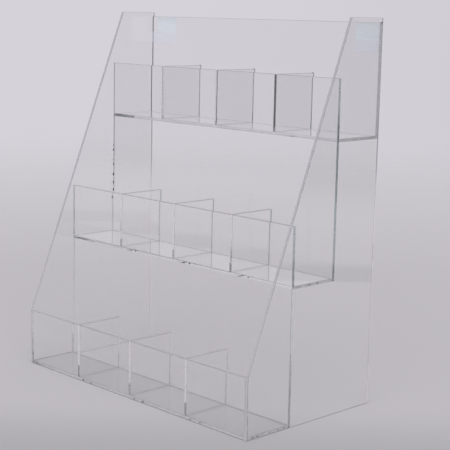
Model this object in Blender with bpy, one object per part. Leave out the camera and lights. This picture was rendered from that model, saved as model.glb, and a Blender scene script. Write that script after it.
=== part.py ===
"""Countertop leaflet rack in clear acrylic: three stepped tiers of four open-topped pockets.

Two side panels hold everything else. Four uprights stand between them, each one tier further
back: the front lip, the middle riser, the top riser and the header panel. A shelf joins each
upright to the next one, and three dividers on every shelf part its length into pockets. The
sheets are cemented edge to face, so nothing moves and nothing is screwed.

Lengths are in metres. The origin is the middle of the footprint, on the surface the rack
stands on, with +X to the right of someone facing it, +Y to the back and +Z up.
"""

import bmesh
import bpy
from mathutils import Vector

# Driving dimensions: the sheets
RACK_WIDTH = 0.440  # across the outer faces of the side panels
RACK_HEIGHT = 0.502  # top edge of the side panels
SHEET = 0.004  # thickness of every acrylic sheet
CEMENT_GAP = 0.0003  # left free between two sheets that are cemented together
ARRIS = 0.0002  # bevel where a sheet's cut edges were scraped and polished

# Driving dimensions: the tiers
TIERS = ("bottom", "middle", "top")
POCKETS_PER_TIER = 4
POCKET_DEPTH = 0.070  # clear depth, from one upright to the next
LIP_HEIGHT = 0.078  # top of an upright above the underside of the shelf behind it
HEADER_HEIGHT = 0.146  # header panel, from the underside of the top shelf
HEADER_DROP = 0.006  # header panel's top edge below the side panels' top edge
SIDE_TOP_LENGTH = 0.060  # level edge at the top of a side panel, in front of its back edge

# Driving dimensions: the blank labels and tape strips on the back of the header panel
LABEL_WIDTH = 0.040
LABEL_HEIGHT = 0.022
LABEL_DROP = 0.001  # label's top edge below the header panel's top edge
LABEL_INSETS = {"left": 0.010, "right": 0.001}  # from a side panel's inner face to its label
TAPE_HEIGHT = 0.015
FILM = 0.0002  # thickness of a label or a tape strip

# Clear acrylic, label film and tape: colour, roughness, metallic, alpha
ACRYLIC = ((0.93, 0.95, 0.96), 0.02, 0.0, 0.25)
LABEL_FILM = ((0.60, 0.68, 0.74), 0.45, 0.0, 0.60)
TAPE = ((0.57, 0.60, 0.74), 0.20, 0.0, 0.50)

# Derived places
TIER_PITCH = POCKET_DEPTH + SHEET
TIER_RISE = (RACK_HEIGHT - HEADER_DROP - HEADER_HEIGHT) / (len(TIERS) - 1)
RACK_DEPTH = len(TIERS) * TIER_PITCH + SHEET
FRONT = -RACK_DEPTH / 2
BACK = RACK_DEPTH / 2
INNER = RACK_WIDTH / 2 - SHEET  # from the middle to a side panel's inner face
DIVIDERS_PER_TIER = POCKETS_PER_TIER - 1
POCKET_WIDTH = (2 * INNER - DIVIDERS_PER_TIER * SHEET) / POCKETS_PER_TIER
HEADER_TOP = RACK_HEIGHT - HEADER_DROP


def clear_scene():
    """Remove whatever objects the scene holds."""
    for obj in list(bpy.data.objects):
        bpy.data.objects.remove(obj, do_unlink=True)


def finish(name, colour, roughness, metallic, alpha):
    """A plain Principled material."""
    material = bpy.data.materials.new(name)
    material.use_nodes = True
    shader = material.node_tree.nodes["Principled BSDF"]
    shader.inputs["Base Color"].default_value = (*colour, 1.0)
    shader.inputs["Roughness"].default_value = roughness
    shader.inputs["Metallic"].default_value = metallic
    shader.inputs["Alpha"].default_value = alpha
    material.diffuse_color = (*colour, alpha)
    return material


def cut_sheet(name, outline, along, look, parent, arris=ARRIS):
    """A flat piece: the outline's face, extruded by the vector along, with its arrises taken off.

    The object's origin is the outline's first point.
    """
    start = Vector(outline[0])
    form = bmesh.new()
    face = form.faces.new([form.verts.new(Vector(point) - start) for point in outline])
    pushed = bmesh.ops.extrude_face_region(form, geom=[face])["geom"]
    corners = [item for item in pushed if isinstance(item, bmesh.types.BMVert)]
    bmesh.ops.translate(form, verts=corners, vec=along)
    bmesh.ops.recalc_face_normals(form, faces=form.faces)
    mesh = bpy.data.meshes.new(name)
    form.to_mesh(mesh)
    form.free()
    mesh.materials.append(finish(name, *look))

    piece = bpy.data.objects.new(name, mesh)
    bpy.context.collection.objects.link(piece)
    piece.location = start
    piece.parent = parent
    if arris:
        bevel = piece.modifiers.new("arris", "BEVEL")
        bevel.width = arris
        bevel.segments = 1
        bevel.limit_method = "ANGLE"
    return piece


def block(name, low, high, look, parent, arris=ARRIS):
    """A rectangular piece between two opposite corners."""
    (x0, y0, z0), (x1, y1, z1) = low, high
    outline = [(x0, y0, z0), (x1, y0, z0), (x1, y1, z0), (x0, y1, z0)]
    return cut_sheet(name, outline, (0, 0, z1 - z0), look, parent, arris)


def upright_front(level):
    """Y of the front face of the upright that stands in front of a tier."""
    return FRONT + level * TIER_PITCH


def shelf_underside(level):
    """Z of the underside of a tier's shelf."""
    return level * TIER_RISE


def lip_top(level):
    """Z of the top edge of the upright in front of a tier."""
    return shelf_underside(level) + LIP_HEIGHT


def side_panel(name, inner_x, outward, parent):
    """A side panel: upright behind the lip's front face, then sloped back to a level top edge."""
    outline = [
        (inner_x, FRONT, 0),
        (inner_x, BACK, 0),
        (inner_x, BACK, RACK_HEIGHT),
        (inner_x, BACK - SIDE_TOP_LENGTH, RACK_HEIGHT),
        (inner_x, FRONT, LIP_HEIGHT),
    ]
    return cut_sheet(name, outline, (outward * SHEET, 0, 0), ACRYLIC, parent)


def upright(name, level, bottom, top, parent):
    """A sheet that stands across the rack between the side panels."""
    reach = INNER - CEMENT_GAP
    front = upright_front(level)
    return block(name, (-reach, front, bottom), (reach, front + SHEET, top), ACRYLIC, parent)


def between_uprights(level):
    """Front and back Y of a piece cemented between a tier's two uprights."""
    return upright_front(level) + SHEET + CEMENT_GAP, upright_front(level + 1) - CEMENT_GAP


def shelf(name, level, parent):
    """The floor of a tier's pockets."""
    reach = INNER - CEMENT_GAP
    front, back = between_uprights(level)
    bottom = shelf_underside(level)
    return block(name, (-reach, front, bottom), (reach, back, bottom + SHEET), ACRYLIC, parent)


def divider(name, level, number, parent):
    """An upright sheet that parts two pockets, standing on the shelf and as tall as the lip."""
    left = -INNER + number * POCKET_WIDTH + (number - 1) * SHEET
    front, back = between_uprights(level)
    bottom = shelf_underside(level) + SHEET + CEMENT_GAP
    return block(name, (left, front, bottom), (left + SHEET, back, lip_top(level)), ACRYLIC, parent)


def label_and_tape(side, hand, parent):
    """A blank label behind a top corner of the header, and a tape strip under it.

    The strip starts at the side panel's outer face, laps over its back edge and ends where
    the label does. hand is -1 on the left and 1 on the right.
    """
    front = BACK + CEMENT_GAP
    near = INNER - LABEL_INSETS[side]
    far = near - LABEL_WIDTH
    top = HEADER_TOP - LABEL_DROP
    seam = top - LABEL_HEIGHT
    xs = sorted((hand * near, hand * far))
    block(
        f"{side}_label",
        (xs[0], front, seam + CEMENT_GAP),
        (xs[1], front + FILM, top),
        LABEL_FILM,
        parent,
        arris=0,
    )
    xs = sorted((hand * RACK_WIDTH / 2, hand * far))
    block(
        f"{side}_tape_strip",
        (xs[0], front, seam - TAPE_HEIGHT),
        (xs[1], front + FILM, seam),
        TAPE,
        parent,
        arris=0,
    )


def build():
    """The whole rack, parented to one empty at the origin."""
    clear_scene()
    rack = bpy.data.objects.new("leaflet_rack", None)
    bpy.context.collection.objects.link(rack)

    side_panel("left_side_panel", -INNER, -1, rack)
    side_panel("right_side_panel", INNER, 1, rack)

    upright("front_lip", 0, shelf_underside(0), lip_top(0), rack)
    upright("middle_riser", 1, shelf_underside(0), lip_top(1), rack)
    upright("top_riser", 2, shelf_underside(1), lip_top(2), rack)
    upright("header_panel", 3, shelf_underside(2), HEADER_TOP, rack)

    for level, tier in enumerate(TIERS):
        shelf(f"{tier}_shelf", level, rack)
        for number in range(1, DIVIDERS_PER_TIER + 1):
            divider(f"{tier}_divider_{number}", level, number, rack)

    label_and_tape("left", -1, rack)
    label_and_tape("right", 1, rack)


build()
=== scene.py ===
"""Clear cast-acrylic leaflet rack on a pale studio floor.

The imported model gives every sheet's place. Each sheet is cut again here with its own edge
finishes and cemented to its neighbours. Then the flecks and beads of the cement, the blank corner
labels and their tape are added, and the rack is lit and seen as in a small product studio.
"""

from __future__ import annotations

import logging
import math
import random
from dataclasses import dataclass, field
from enum import Enum

import bmesh
import bpy
from mathutils import Matrix, Vector


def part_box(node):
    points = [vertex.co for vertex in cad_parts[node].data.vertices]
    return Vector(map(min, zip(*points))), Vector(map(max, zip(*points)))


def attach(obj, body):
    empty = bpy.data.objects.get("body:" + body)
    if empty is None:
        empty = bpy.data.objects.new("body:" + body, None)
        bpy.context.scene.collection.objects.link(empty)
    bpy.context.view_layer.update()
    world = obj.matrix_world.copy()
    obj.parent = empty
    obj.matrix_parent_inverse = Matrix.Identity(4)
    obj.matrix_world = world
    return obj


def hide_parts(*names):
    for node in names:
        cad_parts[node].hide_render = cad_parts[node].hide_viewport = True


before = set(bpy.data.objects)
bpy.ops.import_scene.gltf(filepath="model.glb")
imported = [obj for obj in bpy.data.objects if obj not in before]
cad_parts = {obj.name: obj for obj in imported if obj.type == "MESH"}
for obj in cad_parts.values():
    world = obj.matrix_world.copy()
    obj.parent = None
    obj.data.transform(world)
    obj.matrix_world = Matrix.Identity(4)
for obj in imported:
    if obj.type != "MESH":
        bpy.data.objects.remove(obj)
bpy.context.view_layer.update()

LOG = logging.getLogger("leaflet_rack")
BODY = "root"
MM = 0.001
DIVIDERS = (1, 2, 3)  # their numbers on every tier

# Directions
TO_RIGHT = Vector((1, 0, 0))
TO_LEFT = Vector((-1, 0, 0))
TO_FRONT = Vector((0, -1, 0))
TO_BACK = Vector((0, 1, 0))
TO_TOP = Vector((0, 0, 1))
UPRIGHT_AXIS = 2
BACK_RIGHT = (0.707, 0.707, 0.0)
FRONT_RIGHT = (0.707, -0.707, 0.0)
FRONT_LEFT = (-0.707, -0.707, 0.0)

# A surface is sorted by its normal's share along an axis
FLAT = 0.99  # a broad face of the sheet
FACING = 0.9  # an edge that faces along the axis
LEANING = 0.2  # an edge that leans that way
SQUARE = 0.1  # an edge square to the broad faces, so not one of their arrises

# Settings that many nodes share
COLOUR_MIX = {"data_type": "RGBA"}
SOFT_STEP = {"interpolation_type": "SMOOTHSTEP"}
DOT = {"operation": "DOT_PRODUCT"}
TIMES = {"operation": "MULTIPLY"}
NOISE_SPAN = (0.35, 0.7)  # where nearly all of a noise texture's values lie

# Small round forms
ROUNDNESS = 2  # how often a fleck's or a bead's faces are divided
DEEPEST_DENT = 0.15  # as a share of the way to its middle

# How many sheets light may cross
BOUNCES = 128
CLEAR_BOUNCES = 64


class Side(Enum):
    """A side of the rack, as someone facing it sees it. The value points outwards along X."""

    LEFT = -1
    RIGHT = 1

    @property
    def word(self) -> str:
        """The side's name in piece names."""
        return self.name.lower()


class Tier(Enum):
    """A tier of pockets, counted from the bottom."""

    BOTTOM = 0
    MIDDLE = 1
    TOP = 2

    @property
    def word(self) -> str:
        """The tier's name in piece names."""
        return self.name.lower()


class Cut(Enum):
    """How a surface of a sheet was made. The value is its material's place on the sheet."""

    CAST = 0
    POLISHED = 1
    SCRAPED = 2
    SAWN = 3
    CLOUDED = 4


class Fleck(Enum):
    """A kind of fleck in the cement. The value is its usual length along the joint and its girth."""

    SPECK = (1.5 * MM, 0.8 * MM)
    SLIVER = (2.2 * MM, 1.0 * MM)
    SEED = (2.4 * MM, 1.3 * MM)
    CRUMB = (2.6 * MM, 1.4 * MM)
    BUBBLE = (2.8 * MM, 2.2 * MM)
    DASH = (4.5 * MM, 2.0 * MM)
    STREAK = (6.0 * MM, 1.6 * MM)
    LONG_STREAK = (7.0 * MM, 1.8 * MM)


def srgb(code: str, alpha: float = 1.0) -> tuple[float, float, float, float]:
    """Turn an sRGB hex colour into linear light.

    Args:
        code: six hex digits, with or without a leading #.
        alpha: the fourth number of the result.

    Returns:
        Linear red, green and blue, and alpha.
    """
    digits = code.lstrip("#")
    parts = [int(digits[place : place + 2], 16) / 255 for place in (0, 2, 4)]
    linear = [part / 12.92 if part <= 0.04045 else ((part + 0.055) / 1.055) ** 2.4 for part in parts]
    return (*linear, alpha)


def add_node(
    tree: bpy.types.NodeTree, kind: str, settings: dict | None = None, **inputs
) -> bpy.types.Node:
    """Add one node to a tree with its settings, values and links.

    Args:
        tree: the node tree.
        kind: the node's type name.
        settings: attributes of the node, by name.
        inputs: a value or an output socket for each input, by the input's name with _ for a
            space, or by i and its number.

    Returns:
        The new node.
    """
    node = tree.nodes.new(kind)
    for name, value in (settings or {}).items():
        setattr(node, name, value)
    for name, value in inputs.items():
        numbered = name[0] == "i" and name[1:].isdigit()
        socket = node.inputs[int(name[1:])] if numbered else node.inputs[name.replace("_", " ")]
        if isinstance(value, bpy.types.NodeSocket):
            tree.links.new(value, socket)
        else:
            socket.default_value = value
    return node


def blank_material(name: str) -> tuple[bpy.types.Material, bpy.types.NodeTree, bpy.types.Node]:
    """Make a material that holds nothing but its output.

    Args:
        name: the material's name.

    Returns:
        The material, its node tree and the output node.
    """
    material = bpy.data.materials.new(name)
    material.use_nodes = True
    tree = material.node_tree
    tree.nodes.clear()
    return material, tree, add_node(tree, "ShaderNodeOutputMaterial")


def grain(
    tree: bpy.types.NodeTree,
    size: float,
    low: float,
    high: float,
    detail: float = 2.0,
    stretch: tuple[float, float, float] | None = None,
) -> bpy.types.NodeSocket:
    """Lay a soft random grain over a piece, on its object coordinates.

    Args:
        tree: the material's node tree.
        size: how far apart the grains lie, in metres.
        low: the output where the grain is weakest.
        high: the output where the grain is strongest.
        detail: octaves of finer grain.
        stretch: how much longer the grains are along each axis.

    Returns:
        The grain's output socket.
    """
    place = add_node(tree, "ShaderNodeTexCoord").outputs["Object"]
    if stretch is not None:
        shrink = tuple(1 / share for share in stretch)
        place = add_node(tree, "ShaderNodeMapping", Vector=place, Scale=shrink).outputs[0]
    noise = add_node(tree, "ShaderNodeTexNoise", Vector=place, Scale=1 / size, Detail=detail)
    weakest, strongest = NOISE_SPAN
    spread = add_node(
        tree,
        "ShaderNodeMapRange",
        Value=noise.outputs["Fac"],
        From_Min=weakest,
        From_Max=strongest,
        To_Min=low,
        To_Max=high,
    )
    return spread.outputs[0]


@dataclass(frozen=True)
class CastAcrylic:
    """Cast acrylic sheet, PMMA: nearly colourless, glossy, and seen by its edges.

    Its refractive index is 1.49, so a face mirrors about 4 % of what meets it head on and passes
    the rest. Light that runs the length of a sheet loses a little red on the way.
    """

    name: str = "cast_acrylic_face"
    tint: str = "#FEFEFE"
    ior: float = 1.49
    lamp_tint: str = "#FBFBFB"
    sky_tint: str = "#FEFEFE"
    body_tint: str = "#C0D6D9"
    body_density: float = 0.6
    wave: float = 60 * MM
    wave_height: float = 0.004 * MM
    rub: float = 12 * MM
    rub_stretch: tuple[float, float, float] = (1.0, 1.0, 3.0)
    haze: float = 0.002
    haze_tint: str = "#E4E6E8"
    haze_roughness: float = 0.4

    def material(self) -> bpy.types.Material:
        """Build the material: the surface, its way with lamp light, and the body's tint.

        Returns:
            The finished material.
        """
        made, tree, output = blank_material(self.name)
        shader = self.surface(tree)
        path = add_node(tree, "ShaderNodeLightPath").outputs
        # Bounced and lamp light go straight through, so the sheet casts only a faint shadow
        sky = add_node(tree, "ShaderNodeBsdfTransparent", Color=srgb(self.sky_tint)).outputs[0]
        lamp = add_node(tree, "ShaderNodeBsdfTransparent", Color=srgb(self.lamp_tint)).outputs[0]
        soft = add_node(tree, "ShaderNodeMixShader", i0=path["Is Diffuse Ray"], i1=shader, i2=sky)
        passed = add_node(
            tree, "ShaderNodeMixShader", i0=path["Is Shadow Ray"], i1=soft.outputs[0], i2=lamp
        )
        tree.links.new(passed.outputs[0], output.inputs["Surface"])
        body = add_node(
            tree, "ShaderNodeVolumeAbsorption", Color=srgb(self.body_tint), Density=self.body_density
        )
        tree.links.new(body.outputs[0], output.inputs["Volume"])
        return made

    def surface(self, tree: bpy.types.NodeTree) -> bpy.types.NodeSocket:
        """Build a broad face: cast against plate glass, then wiped and handled.

        Args:
            tree: the material's node tree.

        Returns:
            The surface's shader output.
        """
        waves = grain(tree, self.wave, 0.0, 1.0, detail=1.0)
        bump = add_node(tree, "ShaderNodeBump", Height=waves, Distance=self.wave_height)
        clear = add_node(
            tree,
            "ShaderNodeBsdfPrincipled",
            Base_Color=srgb(self.tint),
            Roughness=0.0,
            IOR=self.ior,
            Transmission_Weight=1.0,
            Normal=bump.outputs[0],
        )
        rubbed = add_node(
            tree,
            "ShaderNodeBsdfPrincipled",
            Base_Color=srgb(self.haze_tint),
            Roughness=self.haze_roughness,
            IOR=self.ior,
        )
        share = grain(tree, self.rub, 0.0, self.haze, detail=4.0, stretch=self.rub_stretch)
        mixed = add_node(
            tree, "ShaderNodeMixShader", i0=share, i1=clear.outputs[0], i2=rubbed.outputs[0]
        )
        return mixed.outputs[0]


@dataclass(frozen=True)
class CutEdge(CastAcrylic):
    """A cut edge of the sheet: clear inside, under a patchy veil that its tool left or cement made; on
    polished edges the dark veil is painted shade.
    """

    name: str = "polished_acrylic_edge"
    tint: str = "#FAFBFB"
    roughness: tuple[float, float] = (0.05, 0.12)
    veil: tuple[float, float] = (0.0, 0.04)
    # Dark by default: on polished edges this veil is painted shade
    veil_tint: str = "#30363A"
    veil_roughness: float = 0.35
    passing: float = 0.5
    mark: float = 3 * MM
    patch: float = 12 * MM

    def surface(self, tree: bpy.types.NodeTree) -> bpy.types.NodeSocket:
        """Build the edge: clear acrylic, roughened, with the veil over part of it.

        Args:
            tree: the material's node tree.

        Returns:
            The surface's shader output.
        """
        clear = add_node(
            tree,
            "ShaderNodeBsdfPrincipled",
            Base_Color=srgb(self.tint),
            Roughness=grain(tree, self.mark, *self.roughness),
            IOR=self.ior,
            Transmission_Weight=1.0,
        )
        lit = add_node(
            tree,
            "ShaderNodeBsdfPrincipled",
            Base_Color=srgb(self.veil_tint),
            Roughness=self.veil_roughness,
            IOR=self.ior,
        )
        passed = add_node(tree, "ShaderNodeBsdfTranslucent", Color=srgb(self.veil_tint))
        veil = add_node(
            tree, "ShaderNodeMixShader", i0=self.passing, i1=lit.outputs[0], i2=passed.outputs[0]
        )
        share = grain(tree, self.patch, *self.veil)
        mixed = add_node(
            tree, "ShaderNodeMixShader", i0=share, i1=clear.outputs[0], i2=veil.outputs[0]
        )
        return mixed.outputs[0]


# Flame or diamond polished: nearly as clear as the faces, with faint dark streaks of painted shade for
# the dark that the edges mirror
POLISHED_EDGE = CutEdge()
# Sawn, then drawn over with a scraper: an even satin grey
SCRAPED_EDGE = CutEdge(
    "scraped_acrylic_edge", roughness=(0.25, 0.4), veil=(0.85, 0.95), veil_tint="#FBF9FC"
)
# As the saw left it, on the feet that nobody sees: frosted, and painted a brownish grey for the shade
# under the feet
SAWN_EDGE = CutEdge(
    "sawn_acrylic_edge", roughness=(0.4, 0.6), veil=(0.6, 0.85), veil_tint="#ADA89F"
)
# An end set in cement that dried a little cloudy: grey where it would be dark
CLOUDED_END = CutEdge(
    "clouded_cement_joint", roughness=(0.1, 0.3), veil=(0.6, 0.85), veil_tint="#FAF9FA"
)
SHEET_FINISHES = {
    Cut.CAST: CastAcrylic(),
    Cut.POLISHED: POLISHED_EDGE,
    Cut.SCRAPED: SCRAPED_EDGE,
    Cut.SAWN: SAWN_EDGE,
    Cut.CLOUDED: CLOUDED_END,
}


@dataclass(frozen=True)
class PaintedVoidShade:
    """Air voids caught in a cement line, painted nearly black against the clear sheet: painted shade for
    the dark they show by what they mirror.
    """

    name: str = "painted_shade_of_cement_voids"
    dark: str = "#14191B"
    pale: str = "#3C4648"
    mottle: float = 1.2 * MM
    roughness: float = 0.25

    def material(self) -> bpy.types.Material:
        """Build the painted shade of the voids: dark, unevenly so, with the wet gloss of cement.

        Returns:
            The finished material.
        """
        made, tree, output = blank_material(self.name)
        share = grain(tree, self.mottle, 0.0, 1.0)
        dark = srgb(self.dark)
        pale = srgb(self.pale)
        tone = add_node(tree, "ShaderNodeMix", COLOUR_MIX, i0=share, i6=dark, i7=pale).outputs[2]
        shader = add_node(
            tree, "ShaderNodeBsdfPrincipled", Base_Color=tone, Roughness=self.roughness
        )
        tree.links.new(shader.outputs[0], output.inputs["Surface"])
        return made


@dataclass(frozen=True)
class Film:
    """Thin polypropylene film, partly see-through, with fine lines across it from the roll."""

    name: str
    colour: str = "#F0FBFF"
    streak: str = "#E2EFF7"
    cover: float = 0.6
    roughness: float = 0.35
    ior: float = 1.49
    line: float = 1.6 * MM
    line_stretch: tuple[float, float, float] = (30.0, 30.0, 1.0)
    glow: float = 0.2
    painted_glow: float = 0.24

    def material(self) -> bpy.types.Material:
        """Build the film: pale, streaked, with a painted glow of its own, and letting light through from
        behind.

        Returns:
            The finished material.
        """
        made, tree, output = blank_material(self.name)
        share = grain(tree, self.line, 0.0, 1.0, stretch=self.line_stretch)
        colour = srgb(self.colour)
        streak = srgb(self.streak)
        tone = add_node(tree, "ShaderNodeMix", COLOUR_MIX, i0=share, i6=colour, i7=streak).outputs[2]
        # Painted light: the film gives off a little blue-white glow of its own, so it looks brighter
        # than its lamps make it
        face = add_node(
            tree,
            "ShaderNodeBsdfPrincipled",
            Base_Color=tone,
            Roughness=self.roughness,
            IOR=self.ior,
            Emission_Color=colour,
            Emission_Strength=self.painted_glow,
        ).outputs[0]
        through = add_node(tree, "ShaderNodeBsdfTranslucent", Color=tone).outputs[0]
        lit = add_node(tree, "ShaderNodeMixShader", i0=self.glow, i1=face, i2=through).outputs[0]
        clear = add_node(tree, "ShaderNodeBsdfTransparent").outputs[0]
        mixed = add_node(tree, "ShaderNodeMixShader", i0=self.cover, i1=clear, i2=lit).outputs[0]
        tree.links.new(mixed, output.inputs["Surface"])
        return made


# Label stock: a whitened film, pale blue and half clear
LABEL_FILM = Film("polypropylene_label_film")
# Packing tape: glossier and a little lilac, with finer lines
TAPE = Film(
    "polypropylene_tape", "#F0F3FF", "#DFE5F4", cover=0.5, roughness=0.2, line=0.8 * MM
)
# The film past its coat, on the back and the rim: all but clear
FILM_BACK = Film("clear_film_back", cover=0.04, roughness=0.1, painted_glow=0.0)


def finish_piece(
    form: bmesh.types.BMesh,
    name: str,
    node: str | None,
    materials: list[bpy.types.Material],
) -> bpy.types.Object:
    """Turn a finished form into a piece of the rack.

    Args:
        form: the mesh in the making, which is freed.
        name: the piece's name.
        node: the CAD node that the piece stands for, if any.
        materials: the piece's materials.

    Returns:
        The piece.
    """
    mesh = bpy.data.meshes.new(name)
    form.to_mesh(mesh)
    form.free()
    for material in materials:
        mesh.materials.append(material)
    piece = bpy.data.objects.new(name, mesh)
    bpy.context.scene.collection.objects.link(piece)
    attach(piece, BODY)
    if node is not None:
        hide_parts(node)
    return piece


@dataclass
class Sheet:
    """One flat acrylic sheet, cut to its CAD node's box and pushed into the sheets it is cemented to."""

    node: str
    grow_low: tuple[float, float, float] = (0.0, 0.0, 0.0)
    grow_high: tuple[float, float, float] = (0.0, 0.0, 0.0)
    arris: float = 0.25 * MM
    slope: tuple[Vector, Vector] | None = None  # a point on the sloped edge, and its way out
    clouded: tuple[Vector, ...] = ()

    def build(self, finishes: list[bpy.types.Material]) -> bpy.types.Object:
        """Cut the sheet, take off its arrises and dress it.

        Args:
            finishes: a material for each kind of cut, in the order of Cut.

        Returns:
            The sheet, which stands for its CAD node.
        """
        low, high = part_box(self.node)
        low = low - Vector(self.grow_low)
        high = high + Vector(self.grow_high)
        size = high - low
        form = bmesh.new()
        bmesh.ops.create_cube(form, size=1.0)
        bmesh.ops.scale(form, vec=size, verts=form.verts)
        bmesh.ops.translate(form, vec=(low + high) / 2, verts=form.verts)
        if self.slope is not None:
            self.cut_slope(form, *self.slope)
        bmesh.ops.bevel(
            form,
            geom=form.edges[:],
            offset=self.arris,
            affect="EDGES",
            segments=1,
            profile=0.5,
            material=-1,
        )
        bmesh.ops.recalc_face_normals(form, faces=form.faces)
        thin = min(range(3), key=lambda axis: size[axis])
        for polygon in form.faces:
            polygon.material_index = self.cut_of(polygon.normal, thin).value
        return finish_piece(form, f"{self.node}_sheet", self.node, finishes)

    def cut_slope(self, form: bmesh.types.BMesh, place: Vector, outward: Vector) -> None:
        """Saw the sheet along a slope and close the cut.

        Args:
            form: the sheet in the making.
            place: a point on the slope.
            outward: the direction of the waste.
        """
        cut = bmesh.ops.bisect_plane(
            form,
            geom=[*form.verts, *form.edges, *form.faces],
            plane_co=place,
            plane_no=outward,
            clear_outer=True,
        )
        rim = [item for item in cut["geom_cut"] if isinstance(item, bmesh.types.BMEdge)]
        bmesh.ops.contextual_create(form, geom=rim)

    def cut_of(self, normal: Vector, thin: int) -> Cut:
        """Tell how a surface was made from the way it faces.

        Args:
            normal: the surface's direction.
            thin: the axis of the sheet's thickness.

        Returns:
            The kind of cut.
        """
        if abs(normal[thin]) > FLAT:
            return Cut.CAST
        stands = thin != UPRIGHT_AXIS
        if stands and normal.z < -FACING:
            return Cut.SAWN
        if any(normal.dot(way) > FACING for way in self.clouded):
            return Cut.CLOUDED
        if stands and normal.z > FACING:
            return Cut.SCRAPED
        if self.slope is None:
            return Cut.POLISHED
        leans = abs(normal[thin]) < SQUARE and LEANING < normal.z < FACING
        return Cut.SCRAPED if leans or normal.y < -FACING else Cut.POLISHED


@dataclass
class Cement:
    """How far a sheet is pushed into its neighbour, so that light crosses the joint between them."""

    gap: float = 0.3 * MM
    bite: float = 0.1 * MM

    @property
    def reach(self) -> float:
        """From a sheet's own end to inside its neighbour."""
        return self.gap + self.bite


@dataclass
class Carcass:
    """The side panels and the four uprights between them."""

    cement: Cement
    uprights: tuple[str, ...] = ("front_lip", "middle_riser", "top_riser", "header_panel")
    # Where the cement never took, the joint still holds air and mirrors the room
    dry: tuple[tuple[str, Side], ...] = (("header_panel", Side.LEFT),)
    clouded: dict[str, tuple[Vector, ...]] = field(
        default_factory=lambda: {"top_riser": (TO_LEFT,), "header_panel": (TO_RIGHT,)}
    )

    def build(self, finishes: list[bpy.types.Material]) -> list[bpy.types.Object]:
        """Cut the side panels and the uprights.

        Args:
            finishes: the sheets' materials.

        Returns:
            The finished sheets.
        """
        made = []
        for side in Side:
            node = f"{side.word}_side_panel"
            foot, top = self.slope(node)
            run = top - foot
            outward = Vector((0, -run.z, run.y)).normalized()
            made.append(Sheet(node, slope=(foot, outward)).build(finishes))
        for node in self.uprights:
            left, right = (self.growth(node, side) for side in Side)
            clouded = self.clouded.get(node, ())
            made.append(Sheet(node, left, right, clouded=clouded).build(finishes))
        return made

    def growth(self, node: str, side: Side) -> tuple[float, float, float]:
        """Tell how far an upright is pushed into the side panel on one side.

        Args:
            node: the upright's CAD node.
            side: the side panel's side.

        Returns:
            The growth along each axis.
        """
        reach = 0.0 if (node, side) in self.dry else self.cement.reach
        return (reach, 0.0, 0.0)

    def slope(self, node: str) -> tuple[Vector, Vector]:
        """Find the two ends of a side panel's sloped front edge.

        Args:
            node: the side panel's CAD node.

        Returns:
            The foot of the slope, at the lip's height, and its top.
        """
        low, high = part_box(node)
        lip_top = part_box("front_lip")[1].z
        corners = [vertex.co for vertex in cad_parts[node].data.vertices]
        front_of_top = min(corner.y for corner in corners if corner.z > high.z - 1 * MM)
        return Vector((low.x, low.y, lip_top)), Vector((low.x, front_of_top, high.z))


@dataclass
class PocketTier:
    """One tier: its shelf, and the dividers that stand on the shelf between two uprights."""

    tier: Tier
    cement: Cement
    # Every shelf's right end is clouded, and these edges are too
    more_clouded: dict[Tier, tuple[Vector, ...]] = field(
        default_factory=lambda: {Tier.BOTTOM: (TO_FRONT,), Tier.TOP: (TO_LEFT,)}
    )

    def build(self, finishes: list[bpy.types.Material]) -> list[bpy.types.Object]:
        """Cut the shelf and the dividers.

        Args:
            finishes: the sheets' materials.

        Returns:
            The finished sheets.
        """
        reach = self.cement.reach
        around = (reach, reach, 0.0)
        clouded = (TO_RIGHT, *self.more_clouded.get(self.tier, ()))
        shelf = Sheet(f"{self.tier.word}_shelf", around, around, clouded=clouded)
        made = [shelf.build(finishes)]
        for number in DIVIDERS:
            node = f"{self.tier.word}_divider_{number}"
            made.append(Sheet(node, (0.0, reach, reach), (0.0, reach, 0.0)).build(finishes))
        return made


def crumple(verts: list[bmesh.types.BMVert], centre: Vector, chance: random.Random) -> None:
    """Make a round form a little irregular.

    Args:
        verts: the form's vertices.
        centre: the form's middle.
        chance: the seeded source of the dents.
    """
    for vert in verts:
        vert.co += (vert.co - centre) * chance.uniform(-DEEPEST_DENT, 0.0)


@dataclass
class FleckRun:
    """A run of flecks of one kind, caught along one cement line."""

    start: Vector
    end: Vector
    count: int
    kind: Fleck
    stray: float = 0.35
    girths: tuple[float, float] = (0.6, 1.2)
    lengths: tuple[float, float] = (0.4, 1.3)

    def add_to(self, form: bmesh.types.BMesh, chance: random.Random) -> None:
        """Add the run's flecks to a form.

        Args:
            form: the mesh in the making.
            chance: the seeded source of the flecks' sizes and places.
        """
        length, girth = self.kind.value
        along = self.end - self.start
        turn = along.to_track_quat("Z", "Y").to_matrix().to_4x4()
        for number in range(self.count):
            share = (number + 0.5 + chance.uniform(-self.stray, self.stray)) / self.count
            spot = self.start + along * share
            wide = girth * chance.uniform(*self.girths)
            long = length * chance.uniform(*self.lengths)
            place = Matrix.Translation(spot) @ turn @ Matrix.Diagonal((wide, wide, long, 1.0))
            made = bmesh.ops.create_icosphere(
                form, subdivisions=ROUNDNESS, radius=0.5, matrix=place
            )
            crumple(made["verts"], spot, chance)


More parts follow.
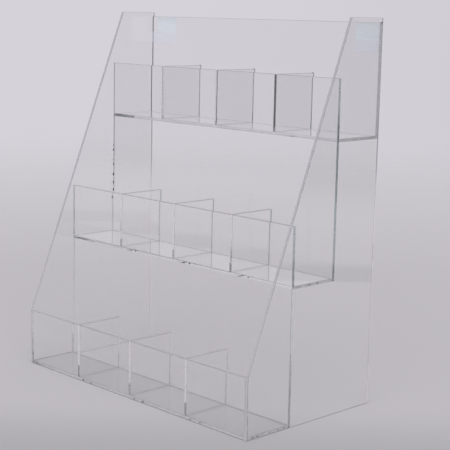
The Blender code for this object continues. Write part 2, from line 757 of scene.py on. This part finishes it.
@dataclass
class CementFlecksPaintedDark:
    """The flecks in the cement lines and the beads squeezed out at the tops of the joints, drawn nearly
    black: painted shade for the dark they show by what they mirror.
    """

    seed: int = 7
    forward: float = 1.0 * MM
    foot_run: float = 14 * MM
    foot_lift: float = 2 * MM
    bottom_front_run: float = 24 * MM
    middle_front_run: float = 27 * MM
    middle_end_run: float = 44 * MM
    top_end_run: float = 42 * MM
    riser_run_height: float = 225 * MM
    riser_run: float = 90 * MM
    bottom_bubbles: tuple[float, float] = (7 * MM, 25 * MM)
    middle_bubbles: tuple[float, float] = (19 * MM, 29 * MM)
    bubble_room: float = 2 * MM
    bead: float = 1.0 * MM
    bead_shape: tuple[float, float, float] = (1.1, 0.8, 0.9)

    def build(self, finish: bpy.types.Material) -> list[bpy.types.Object]:
        """Make one piece of flecks for each tier, and one of beads.

        Args:
            finish: the material of the painted-dark flecks and beads.

        Returns:
            The finished pieces.
        """
        chance = random.Random(self.seed)
        made = []
        for tier, runs in zip(Tier, (self.bottom(), self.middle(), self.top())):
            form = bmesh.new()
            for run in runs:
                run.add_to(form, chance)
            name = f"{tier.word}_tier_cement_flecks"
            made.append(finish_piece(form, name, None, [finish]))
        made.append(self.beads(finish, chance))
        for piece in made:
            piece.data.shade_smooth()
        return made

    def front_left(self, tier: Tier) -> Vector:
        """The left end of a tier's front joint, at the shelf's middle height."""
        low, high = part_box(f"{tier.word}_shelf")
        return Vector((low.x, low.y - self.forward, (low.z + high.z) / 2))

    def front_right(self, tier: Tier) -> Vector:
        """The shelf's right front corner, at its middle height."""
        low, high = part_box(f"{tier.word}_shelf")
        return Vector((high.x, low.y, (low.z + high.z) / 2))

    def by_dividers(self, tier: Tier, places: tuple[float, float]) -> list[FleckRun]:
        """Two round bubbles in the front joint to the right of every divider.

        Args:
            tier: the tier.
            places: how far each bubble lies from the divider.

        Returns:
            The runs, of one bubble each.
        """
        runs = []
        corner = self.front_left(tier)
        for number in DIVIDERS:
            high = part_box(f"{tier.word}_divider_{number}")[1]
            for away in places:
                start = Vector((high.x + away, corner.y, corner.z))
                end = start + TO_RIGHT * self.bubble_room
                runs.append(FleckRun(start, end, 1, Fleck.BUBBLE))
        return runs

    def bottom(self) -> list[FleckRun]:
        """The bottom tier's runs: its front corner, its right end and its dividers' feet.

        Returns:
            The runs.
        """
        left = self.front_left(Tier.BOTTOM)
        right = self.front_right(Tier.BOTTOM)
        low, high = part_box("bottom_shelf")
        up = TO_TOP * self.foot_run
        runs = [
            FleckRun(left, left + TO_RIGHT * self.bottom_front_run, 6, Fleck.CRUMB),
            FleckRun(left, left + up, 5, Fleck.SLIVER),
            FleckRun(right, right + TO_BACK * (high.y - low.y), 5, Fleck.LONG_STREAK),
        ]
        for number in DIVIDERS:
            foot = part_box(f"bottom_divider_{number}")[0] + TO_TOP * self.foot_lift
            runs.append(FleckRun(foot, foot + up, 3, Fleck.SPECK))
        return runs + self.by_dividers(Tier.BOTTOM, self.bottom_bubbles)

    def middle(self) -> list[FleckRun]:
        """The middle tier's runs: its front joint's left end, its right end and the bubbles.

        Returns:
            The runs.
        """
        left = self.front_left(Tier.MIDDLE)
        right = self.front_right(Tier.MIDDLE)
        return [
            FleckRun(left, left + TO_RIGHT * self.middle_front_run, 9, Fleck.CRUMB),
            FleckRun(right, right + TO_BACK * self.middle_end_run, 5, Fleck.STREAK),
            *self.by_dividers(Tier.MIDDLE, self.middle_bubbles),
        ]

    def top(self) -> list[FleckRun]:
        """The top tier's runs: the shelf's left end and the riser's left end.

        Returns:
            The runs.
        """
        left = self.front_left(Tier.TOP)
        low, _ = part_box("top_riser")
        foot = Vector((low.x, low.y, self.riser_run_height))
        return [
            FleckRun(left, left + TO_BACK * self.top_end_run, 10, Fleck.SEED),
            FleckRun(foot, foot + TO_TOP * self.riser_run, 8, Fleck.DASH),
        ]

    def beads(self, finish: bpy.types.Material, chance: random.Random) -> bpy.types.Object:
        """One bead at the top of each top divider's back joint, and of each header joint.

        Args:
            finish: the painted-dark material of the beads.
            chance: the seeded source of the beads' dents.

        Returns:
            The finished piece.
        """
        spots = []
        for number in DIVIDERS:
            low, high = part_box(f"top_divider_{number}")
            spots.append(Vector(((low.x + high.x) / 2, high.y - self.bead / 2, high.z)))
        low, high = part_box("header_panel")
        spots.append(Vector((low.x, high.y - self.bead, high.z)))
        spots.append(Vector((high.x, high.y - self.bead, high.z)))
        form = bmesh.new()
        for spot in spots:
            place = Matrix.Translation(spot) @ Matrix.Diagonal((*self.bead_shape, 1.0))
            made = bmesh.ops.create_icosphere(
                form, subdivisions=ROUNDNESS, radius=self.bead, matrix=place
            )
            crumple(made["verts"], spot, chance)
        return finish_piece(form, "cement_beads", None, [finish])


@dataclass
class CornerLabel:
    """A blank label on the back of the header, with a strip of clear tape below it."""

    side: Side
    corner: float = 0.8 * MM
    corner_steps: int = 4

    def build(
        self, label: bpy.types.Material, tape: bpy.types.Material, back: bpy.types.Material
    ) -> list[bpy.types.Object]:
        """Cut the label and the tape.

        Args:
            label: the label film's material.
            tape: the tape's material.
            back: the material of the films' backs and rims.

        Returns:
            The two films.
        """
        return [
            self.film(f"{self.side.word}_label", "label_film", [label, back]),
            self.film(f"{self.side.word}_tape_strip", "tape_film", [tape, back]),
        ]

    def film(self, node: str, slot: str, finishes: list[bpy.types.Material]) -> bpy.types.Object:
        """Cut one film with rounded corners to its CAD node's box.

        Args:
            node: the CAD node.
            slot: the record's material slot; not used.
            finishes: the materials of the side towards the header and of the rest.

        Returns:
            The film.
        """
        low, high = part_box(node)
        size = high - low
        form = bmesh.new()
        bmesh.ops.create_grid(form, x_segments=1, y_segments=1, size=0.5)
        bmesh.ops.scale(form, vec=(size.x, size.z, 1.0), verts=form.verts)
        bmesh.ops.bevel(
            form,
            geom=form.verts[:],
            offset=self.corner,
            affect="VERTICES",
            segments=self.corner_steps,
            profile=0.5,
            material=-1,
        )
        bmesh.ops.solidify(form, geom=form.faces[:], thickness=size.y)
        upright = Matrix.Rotation(math.radians(90), 3, "X")
        bmesh.ops.rotate(form, cent=(0, 0, 0), matrix=upright, verts=form.verts)
        middle = sum((v.co.y for v in form.verts), 0.0) / len(form.verts)
        place = (low + high) / 2 - Vector((0, middle, 0))
        bmesh.ops.translate(form, vec=place, verts=form.verts)
        bmesh.ops.recalc_face_normals(form, faces=form.faces)
        for polygon in form.faces:
            polygon.material_index = 0 if polygon.normal.dot(TO_FRONT) > FACING else 1
        return finish_piece(form, f"{node}_film", node, finishes)


@dataclass(frozen=True)
class RoomSide:
    """One side of the room, as the sheets mirror it: where it lies, its colour and its spread."""

    towards: tuple[float, float, float]
    colour: str
    edge: float = 0.25
    core: float = 0.75


@dataclass
class Studio:
    """Pale floor, a pale surround, a soft lamp and the camera.

    What is seen directly, or straight through the sheets, is the pale surround. What the sheets
    mirror is the room: the near paper, the dark gap past its far edge, and the unlit sides.
    """

    # The floor, in metres from the rack's middle
    floor_radius: float = 4.2
    floor_sides: int = 96
    floor_drop: float = 0.2 * MM
    seen_fade: tuple[float, float] = (0.8, 4.2)
    seen_power: float = 1.7
    mirrored_fade: tuple[float, float] = (1.6, 2.5)
    floor_colour: str = "#DDDBDD"
    front_colour: str = "#C9C8C9"
    fall_off: tuple[float, float] = (0.09, 0.30)
    # The floor as the sheets mirror it
    near_paper_colour: str = "#C2C0C3"
    far_paper_colour: str = "#D5D2D7"
    paper_span: tuple[float, float] = (0.45, 0.95)
    gap_colour: str = "#7C7A82"
    gap_span: tuple[float, float] = (0.97, 1.13)
    gap_rims: tuple[float, float] = (0.01, 0.04)
    # The surround, and the room as the sheets mirror it
    surround_colour: str = "#D5D2D9"
    dim_colour: str = "#CDCAD1"
    dim_towards: tuple[float, float, float] = (0.7, 0.714, 0.0)
    dim_span: tuple[float, float] = (-0.06, 0.34)
    wall_colour: str = "#A6A4A8"
    backdrop_top: tuple[float, float] = (13.5, 16.5)
    sides: tuple[RoomSide, ...] = (RoomSide(BACK_RIGHT, "#3A3A3C"), RoomSide(FRONT_LEFT, "#9E9CA2"))
    sky_share: float = 0.66
    # The lamp
    key_strength: float = 1.3
    key_spread: float = 70.0
    key_from: tuple[float, float, float] = (0.5, -0.5, 0.7)
    # The camera
    camera_place: tuple[float, float, float] = (1.1986, -1.1138, 0.5070)
    camera_heading: float = 45.632
    camera_tilt: float = -9.913
    camera_roll: float = 1.199
    camera_lens: float = 98.22
    sensor: float = 36.0

    def build(self) -> None:
        """Set the floor, the surround, the lamp and the camera."""
        self.lay_floor()
        self.light()
        self.surround()
        self.place_camera()

    def mirrored(self, tree: bpy.types.NodeTree) -> bpy.types.NodeSocket:
        """Tell a ray that a sheet has mirrored from one that comes straight.

        Args:
            tree: the node tree to add to.

        Returns:
            1 for a mirrored ray and 0 for the rest.
        """
        depth = add_node(tree, "ShaderNodeLightPath").outputs["Glossy Depth"]
        test = {"operation": "GREATER_THAN"}
        return add_node(tree, "ShaderNodeMath", test, i0=depth, i1=0.5).outputs[0]

    def once(self, tree: bpy.types.NodeTree) -> bpy.types.NodeSocket:
        """Tell a ray mirrored once, off the outside of a sheet, from one led on inside a sheet.

        Args:
            tree: the node tree to add to.

        Returns:
            1 for a ray mirrored exactly once and 0 for the rest.
        """
        depth = add_node(tree, "ShaderNodeLightPath").outputs["Glossy Depth"]
        test = {"operation": "COMPARE"}
        return add_node(tree, "ShaderNodeMath", test, i0=depth, i1=1.0, i2=0.5).outputs[0]

    def lay_floor(self) -> None:
        """Lay a round matt floor."""
        form = bmesh.new()
        bmesh.ops.create_circle(
            form, cap_ends=True, radius=self.floor_radius, segments=self.floor_sides
        )
        bmesh.ops.translate(form, vec=(0, 0, -self.floor_drop), verts=form.verts)
        mesh = bpy.data.meshes.new("studio_floor")
        form.to_mesh(mesh)
        form.free()
        mesh.materials.append(self.paper_sweep())
        floor = bpy.data.objects.new("studio_floor", mesh)
        bpy.context.scene.collection.objects.link(floor)

    def paper_sweep(self) -> bpy.types.Material:
        """Build the floor's paper, which fades into the surround towards its rim.

        Returns:
            The finished material.
        """
        made, tree, output = blank_material("matt_paper_sweep")
        place = add_node(tree, "ShaderNodeTexCoord").outputs["Object"]
        length = {"operation": "LENGTH"}
        distance = add_node(tree, "ShaderNodeVectorMath", length, i0=place).outputs["Value"]
        mirrored = self.mirrored(tree)
        paper = add_node(
            tree, "ShaderNodeBsdfDiffuse", Color=self.lit_paper(tree, place)
        ).outputs[0]
        echo = self.mirrored_paper(tree, place, distance)
        glow = add_node(tree, "ShaderNodeEmission", Color=echo).outputs[0]
        looked = add_node(tree, "ShaderNodeMixShader", i0=mirrored, i1=paper, i2=glow).outputs[0]
        clear = add_node(tree, "ShaderNodeBsdfTransparent").outputs[0]
        share = self.floor_share(tree, distance, mirrored)
        mixed = add_node(tree, "ShaderNodeMixShader", i0=share, i1=clear, i2=looked).outputs[0]
        tree.links.new(mixed, output.inputs["Surface"])
        return made

    def floor_share(
        self,
        tree: bpy.types.NodeTree,
        distance: bpy.types.NodeSocket,
        mirrored: bpy.types.NodeSocket,
    ) -> bpy.types.NodeSocket:
        """Tell how much of the floor is left before it gives way to the surround.

        Args:
            tree: the floor's node tree.
            distance: the distance from the rack's middle.
            mirrored: 1 where the sheets mirror the floor.

        Returns:
            1 near the rack, and 0 at the rim.
        """
        whole, rim = self.seen_fade
        seen = add_node(
            tree, "ShaderNodeMapRange", Value=distance, From_Min=rim, From_Max=whole
        ).outputs[0]
        power = {"operation": "POWER"}
        seen = add_node(tree, "ShaderNodeMath", power, i0=seen, i1=self.seen_power).outputs[0]
        whole, rim = self.mirrored_fade
        echoed = add_node(
            tree, "ShaderNodeMapRange", SOFT_STEP, Value=distance, From_Min=rim, From_Max=whole
        ).outputs[0]
        return add_node(tree, "ShaderNodeMix", i0=mirrored, i2=seen, i3=echoed).outputs[0]

    def lit_paper(
        self, tree: bpy.types.NodeTree, place: bpy.types.NodeSocket
    ) -> bpy.types.NodeSocket:
        """Colour the paper as it is seen, darker in front of the rack where the light falls off.

        Args:
            tree: the floor's node tree.
            place: the place on the floor.

        Returns:
            The paper's colour.
        """
        forward = add_node(
            tree, "ShaderNodeVectorMath", DOT, i0=place, i1=FRONT_RIGHT
        ).outputs["Value"]
        start, end = self.fall_off
        fall = add_node(
            tree, "ShaderNodeMapRange", SOFT_STEP, Value=forward, From_Min=start, From_Max=end
        ).outputs[0]
        lit = srgb(self.floor_colour)
        dim = srgb(self.front_colour)
        return add_node(tree, "ShaderNodeMix", COLOUR_MIX, i0=fall, i6=lit, i7=dim).outputs[2]

    def mirrored_paper(
        self,
        tree: bpy.types.NodeTree,
        place: bpy.types.NodeSocket,
        distance: bpy.types.NodeSocket,
    ) -> bpy.types.NodeSocket:
        """Colour the floor as the sheets mirror it: the paper, and the dark gap past its far edge.

        Args:
            tree: the floor's node tree.
            place: the place on the floor.
            distance: the distance from the rack's middle.

        Returns:
            The mirrored floor's colour.
        """
        aside = add_node(
            tree, "ShaderNodeVectorMath", DOT, i0=place, i1=BACK_RIGHT
        ).outputs["Value"]
        start, end = self.gap_span
        near_rim, far_rim = self.gap_rims
        opens = add_node(
            tree,
            "ShaderNodeMapRange",
            SOFT_STEP,
            Value=aside,
            From_Min=start,
            From_Max=start + near_rim,
        ).outputs[0]
        closes = add_node(
            tree,
            "ShaderNodeMapRange",
            SOFT_STEP,
            Value=aside,
            From_Min=end + far_rim,
            From_Max=end - far_rim,
        ).outputs[0]
        in_gap = add_node(tree, "ShaderNodeMath", TIMES, i0=opens, i1=closes).outputs[0]
        start, end = self.paper_span
        away = add_node(
            tree, "ShaderNodeMapRange", SOFT_STEP, Value=distance, From_Min=start, From_Max=end
        ).outputs[0]
        near = srgb(self.near_paper_colour)
        far = srgb(self.far_paper_colour)
        gap = srgb(self.gap_colour)
        paper = add_node(tree, "ShaderNodeMix", COLOUR_MIX, i0=away, i6=near, i7=far).outputs[2]
        once = self.once(tree)
        paper = add_node(tree, "ShaderNodeMix", COLOUR_MIX, i0=once, i6=far, i7=paper).outputs[2]
        return add_node(tree, "ShaderNodeMix", COLOUR_MIX, i0=in_gap, i6=paper, i7=gap).outputs[2]

    def surround(self) -> None:
        """Put up the pale surround, and the room that the sheets mirror."""
        world = bpy.data.worlds.new("studio_surround")
        bpy.context.scene.world = world
        world.use_nodes = True
        tree = world.node_tree
        tree.nodes.clear()
        way = add_node(tree, "ShaderNodeTexCoord").outputs["Generated"]
        room = self.mirrored_room(tree, way)
        direct = self.seen_surround(tree, way)
        mirrored = self.mirrored(tree)
        seen = add_node(tree, "ShaderNodeMix", COLOUR_MIX, i0=mirrored, i6=direct, i7=room).outputs[2]
        soft = add_node(tree, "ShaderNodeLightPath").outputs["Is Diffuse Ray"]
        strength = add_node(tree, "ShaderNodeMix", i0=soft, i2=1.0, i3=self.sky_share).outputs[0]
        shade = add_node(tree, "ShaderNodeBackground", Color=seen, Strength=strength)
        output = add_node(tree, "ShaderNodeOutputWorld")
        tree.links.new(shade.outputs[0], output.inputs["Surface"])

    def mirrored_room(
        self, tree: bpy.types.NodeTree, way: bpy.types.NodeSocket
    ) -> bpy.types.NodeSocket:
        """Colour the room as the sheets mirror it: its sides, and the wall above the backdrop.

        Args:
            tree: the world's node tree.
            way: the direction looked in.

        Returns:
            The room's colour.
        """
        room = srgb(self.surround_colour)
        for side in self.sides:
            towards = add_node(
                tree, "ShaderNodeVectorMath", DOT, i0=way, i1=side.towards
            ).outputs["Value"]
            share = add_node(
                tree,
                "ShaderNodeMapRange",
                SOFT_STEP,
                Value=towards,
                From_Min=side.edge,
                From_Max=side.core,
            ).outputs[0]
            colour = srgb(side.colour)
            room = add_node(
                tree, "ShaderNodeMix", COLOUR_MIX, i0=share, i6=room, i7=colour
            ).outputs[2]
        height = add_node(tree, "ShaderNodeVectorMath", DOT, i0=way, i1=TO_TOP).outputs["Value"]
        low, high = (math.sin(math.radians(angle)) for angle in self.backdrop_top)
        above = add_node(
            tree, "ShaderNodeMapRange", SOFT_STEP, Value=height, From_Min=low, From_Max=high
        ).outputs[0]
        above = add_node(tree, "ShaderNodeMath", TIMES, i0=above, i1=self.once(tree)).outputs[0]
        wall = srgb(self.wall_colour)
        return add_node(tree, "ShaderNodeMix", COLOUR_MIX, i0=above, i6=room, i7=wall).outputs[2]

    def seen_surround(
        self, tree: bpy.types.NodeTree, way: bpy.types.NodeSocket
    ) -> bpy.types.NodeSocket:
        """Colour the surround as it is seen directly, a little dimmer to the back right.

        Args:
            tree: the world's node tree.
            way: the direction looked in.

        Returns:
            The surround's colour.
        """
        aside = add_node(
            tree, "ShaderNodeVectorMath", DOT, i0=way, i1=self.dim_towards
        ).outputs["Value"]
        start, end = self.dim_span
        dim = add_node(
            tree, "ShaderNodeMapRange", SOFT_STEP, Value=aside, From_Min=start, From_Max=end
        ).outputs[0]
        bright = srgb(self.surround_colour)
        dull = srgb(self.dim_colour)
        return add_node(tree, "ShaderNodeMix", COLOUR_MIX, i0=dim, i6=bright, i7=dull).outputs[2]

    def light(self) -> None:
        """Hang a wide soft lamp on the camera's side, whose faint shadow falls behind the rack."""
        lamp = bpy.data.lights.new("large_softbox", "SUN")
        lamp.energy = self.key_strength
        lamp.angle = math.radians(self.key_spread)
        holder = bpy.data.objects.new("large_softbox", lamp)
        holder.rotation_euler = (-Vector(self.key_from)).to_track_quat("-Z", "Y").to_euler()
        # Its bright face would blot the shelves out from behind, so the sheets don't show it
        holder.visible_glossy = False
        holder.visible_transmission = False
        bpy.context.scene.collection.objects.link(holder)

    def place_camera(self) -> None:
        """Stand the camera before the rack's right front corner, a little above it."""
        camera = bpy.data.cameras.new("studio_camera")
        camera.lens = self.camera_lens
        camera.sensor_width = self.sensor
        holder = bpy.data.objects.new("studio_camera", camera)
        bpy.context.scene.collection.objects.link(holder)
        turn = Matrix.Rotation(math.radians(self.camera_heading), 4, "Z")
        tilt = Matrix.Rotation(math.radians(90 + self.camera_tilt), 4, "X")
        roll = Matrix.Rotation(math.radians(self.camera_roll), 4, "Z")
        holder.matrix_world = Matrix.Translation(self.camera_place) @ turn @ tilt @ roll
        bpy.context.scene.camera = holder


def set_light_paths(scene: bpy.types.Scene) -> None:
    """Let light cross as many sheets as stand behind one another, and keep the colours plain.

    Args:
        scene: the scene to set.
    """
    scene.cycles.max_bounces = BOUNCES
    scene.cycles.transmission_bounces = BOUNCES
    scene.cycles.glossy_bounces = BOUNCES
    scene.cycles.transparent_max_bounces = CLEAR_BOUNCES
    scene.view_settings.view_transform = "Standard"


def main() -> None:
    """Build the rack and the studio round it."""
    logging.basicConfig(level=logging.INFO, format="%(name)s: %(message)s")
    finishes = [SHEET_FINISHES[cut].material() for cut in Cut]
    cement = Cement()
    pieces = Carcass(cement).build(finishes)
    for tier in Tier:
        pieces += PocketTier(tier, cement).build(finishes)
    # The cement's voids and beads are painted dark: painted shade for what they mirror
    pieces += CementFlecksPaintedDark().build(PaintedVoidShade().material())
    label, tape, back = (film.material() for film in (LABEL_FILM, TAPE, FILM_BACK))
    for side in Side:
        pieces += CornerLabel(side).build(label, tape, back)
    for piece in pieces:
        LOG.info("%s: %d faces", piece.name, len(piece.data.polygons))
    Studio().build()
    set_light_paths(bpy.context.scene)


if __name__ == "__main__":
    main()
